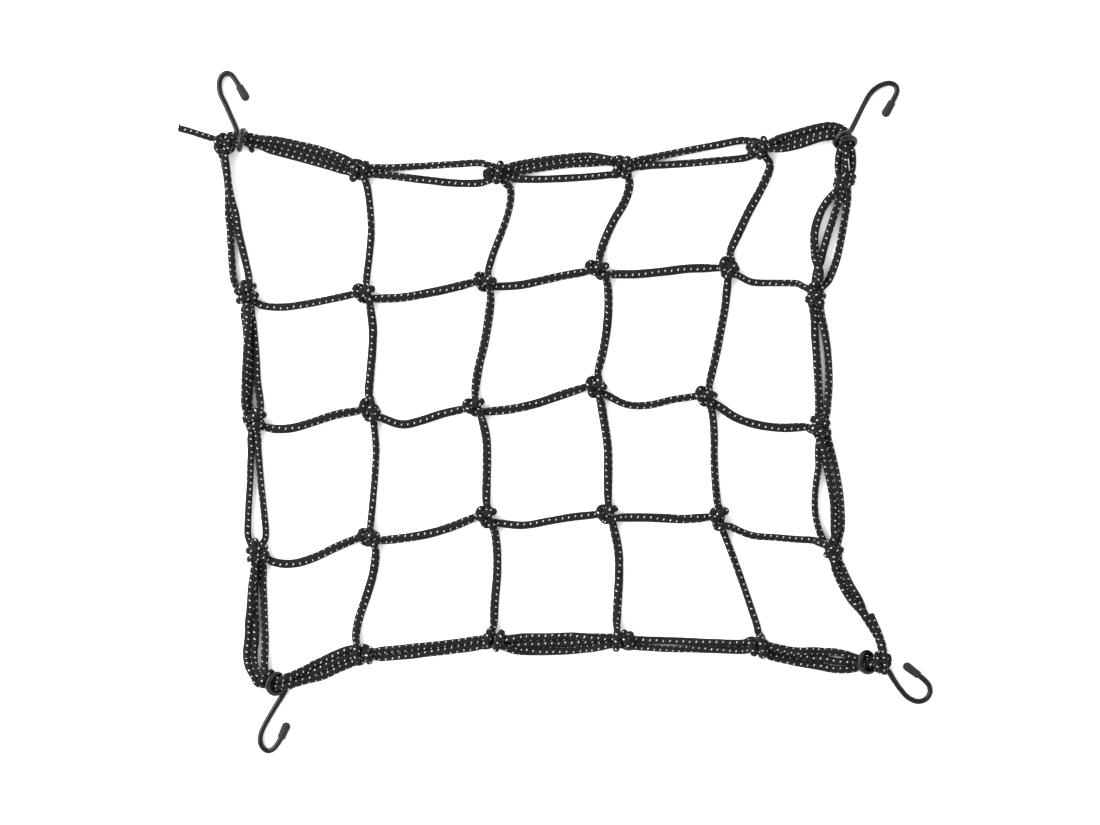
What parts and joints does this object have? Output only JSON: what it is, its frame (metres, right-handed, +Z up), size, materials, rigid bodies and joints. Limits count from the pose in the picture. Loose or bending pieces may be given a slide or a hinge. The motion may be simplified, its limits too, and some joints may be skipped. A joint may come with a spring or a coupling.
{
  "type": "elastic cord cargo net with coated wire hooks",
  "caption": "Elastic cord net of square meshes, knotted at every crossing, with a doubled cord border and a plastic coated wire hook at each corner, laid out flat.",
  "frame": {"origin": "on the surface the net lies on, under the middle of its outline measured without the free tail", "axes": "+Z up off the surface, +X along the longer side of the net towards the corners without a free tail, +Y along the shorter side towards the tail's corner"},
  "size_m": [0.4855, 0.4386, 0.0178],
  "materials": {
    "cord": "braided polyester sheath, black with a few white tracer picks, matt",
    "coated_wire": "black dipped plastic coat on steel wire, glossy",
    "rubber_cap": "matt black moulded cap"
  },
  "bodies": {
    "root": {"bottom_inner": "cord", "bottom_outer": "cord", "bottom_third_1": "cord", "bottom_third_2": "cord", "bottom_third_3": "cord", "cap_bottom_left": "rubber_cap", "cap_bottom_right": "rubber_cap", "cap_top_left": "rubber_cap", "cap_top_right": "rubber_cap", "column_cord_1": "cord", "column_cord_2": "cord", "column_cord_3": "cord", "column_cord_4": "cord", "cut_end": "cord", "free_tail": "cord", "hook_bottom_left": "coated_wire", "hook_bottom_right": "coated_wire", "hook_top_left": "coated_wire", "hook_top_right": "coated_wire", "left_inner": "cord", "left_outer": "cord", "left_third_1": "cord", "left_third_2": "cord", "right_inner": "cord", "right_outer": "cord", "right_third_1": "cord", "right_third_2": "cord", "row_cord_1": "cord", "row_cord_2": "cord", "row_cord_3": "cord", "top_inner": "cord", "top_outer": "cord", "top_third_1": "cord", "top_third_2": "cord", "top_third_3": "cord", "wrap_bottom_left": "cord", "wrap_bottom_right": "cord", "wrap_top_left": "cord", "wrap_top_right": "cord"}
  },
  "joints": []
}
